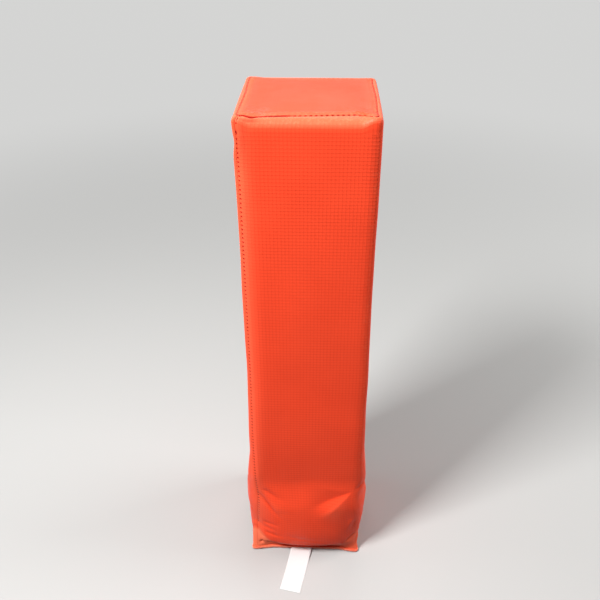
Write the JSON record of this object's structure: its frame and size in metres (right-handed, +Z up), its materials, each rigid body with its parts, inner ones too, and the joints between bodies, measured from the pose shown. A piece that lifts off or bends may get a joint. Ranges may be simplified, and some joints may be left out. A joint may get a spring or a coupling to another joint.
{
  "type": "football field pylon",
  "caption": "Square upright football field pylon: sewn orange vinyl cover over a foam block and a sand bag, with a blank white tag in the base seam.",
  "frame": {"origin": "centre of the base, on the ground", "axes": "+Z up the pylon; -Y towards the front, where the tag comes out of the base seam; +X to the right seen from the front"},
  "size_m": [0.114, 0.157, 0.4592],
  "materials": {
    "vinyl": "satin",
    "thread": "matte",
    "foam": "matte",
    "bag_cloth": "matte",
    "sand": "matte",
    "tag": "satin"
  },
  "bodies": {
    "pylon": {"side_panel": "vinyl", "top_panel": "vinyl", "base_panel": "vinyl", "vertical_seam_needle_thread": "thread", "vertical_seam_bobbin_thread": "thread", "top_seam_needle_thread": "thread", "top_seam_bobbin_thread": "thread", "base_seam_needle_thread": "thread", "base_seam_bobbin_thread": "thread", "foam_core": "foam", "sand_bag_body": "bag_cloth", "sand_bag_lid": "bag_cloth", "sand_bag_thread": "thread", "sand_fill": "sand", "tag_sewn_end": "tag"},
    "tag": {"tag_tail": "tag"}
  },
  "joints": [
    {"name": "tag_swing", "type": "hinge", "parent": "pylon", "child": "tag", "pos_m": [-0.0047, -0.052, 0.00243], "axis": [-1, 0, 0], "range_deg": [-90, 80]}
  ]
}
